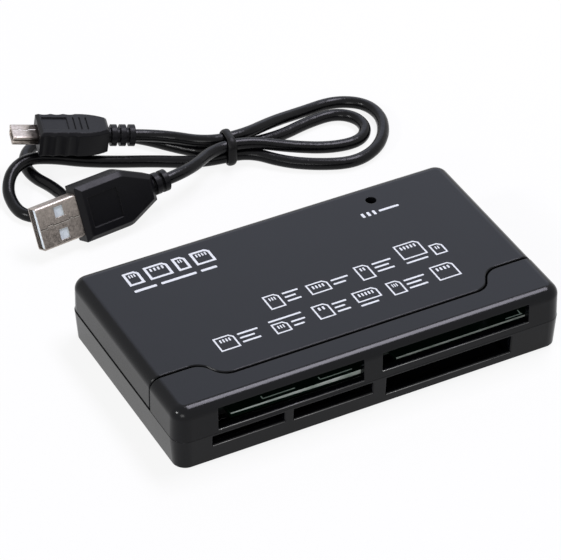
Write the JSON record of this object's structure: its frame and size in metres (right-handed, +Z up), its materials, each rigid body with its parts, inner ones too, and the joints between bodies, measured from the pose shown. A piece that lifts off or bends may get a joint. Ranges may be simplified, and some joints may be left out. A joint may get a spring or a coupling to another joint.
{
  "type": "usb memory card reader",
  "caption": "Flat dark plastic memory card reader: wide card slots along the front face, curved seam across the top, lead socket at the rear, and a loose tied lead with a plug at each end.",
  "frame": {"origin": "on the table under the middle of the case", "axes": "+X along the case to the right as seen from the front, +Y to the rear where the lead socket is (the card slots face -Y), +Z up"},
  "size_m": [0.1209, 0.1471, 0.019],
  "materials": {
    "case_plastic": "satin, fine moulded grain",
    "board_laminate": "green solder mask",
    "socket_plastic": "matt moulded",
    "contact_metal": "gold flash",
    "sheet_steel": "nickel plated",
    "screw_steel": "zinc plated",
    "light_resin": "clear moulded",
    "chip_resin": "matt moulded",
    "tinned_lead": "bright tin",
    "ceramic": "fired ceramic",
    "plug_insulator": "moulded",
    "grip_vinyl": "satin",
    "cable_vinyl": "satin"
  },
  "bodies": {
    "root": {"bottom_shell": "case_plastic", "top_cover": "case_plastic", "circuit_board": "board_laminate", "pin_header": "socket_plastic", "wide_frame": "socket_plastic", "stick_block": "socket_plastic", "thin_block": "socket_plastic", "micro_body": "socket_plastic", "usb_socket_tongue": "socket_plastic", "header_pins": "contact_metal", "wide_contacts": "contact_metal", "stick_contacts": "contact_metal", "thin_contacts": "contact_metal", "micro_contacts": "contact_metal", "usb_socket_contacts": "contact_metal", "usb_plug_contacts": "contact_metal", "mini_plug_contacts": "contact_metal", "micro_cover": "sheet_steel", "usb_socket_shell": "sheet_steel", "usb_plug_shell": "sheet_steel", "mini_plug_shell": "sheet_steel", "board_screws": "screw_steel", "access_light": "light_resin", "controller_chip": "chip_resin", "regulator": "chip_resin", "chip_resistors": "chip_resin", "chip_legs": "tinned_lead", "regulator_legs": "tinned_lead", "crystal": "tinned_lead", "chip_capacitors": "ceramic", "usb_plug_insulator": "plug_insulator", "mini_plug_insulator": "plug_insulator", "usb_plug_grip": "grip_vinyl", "mini_plug_grip": "grip_vinyl", "cable": "cable_vinyl", "cable_tie": "cable_vinyl"}
  },
  "joints": []
}
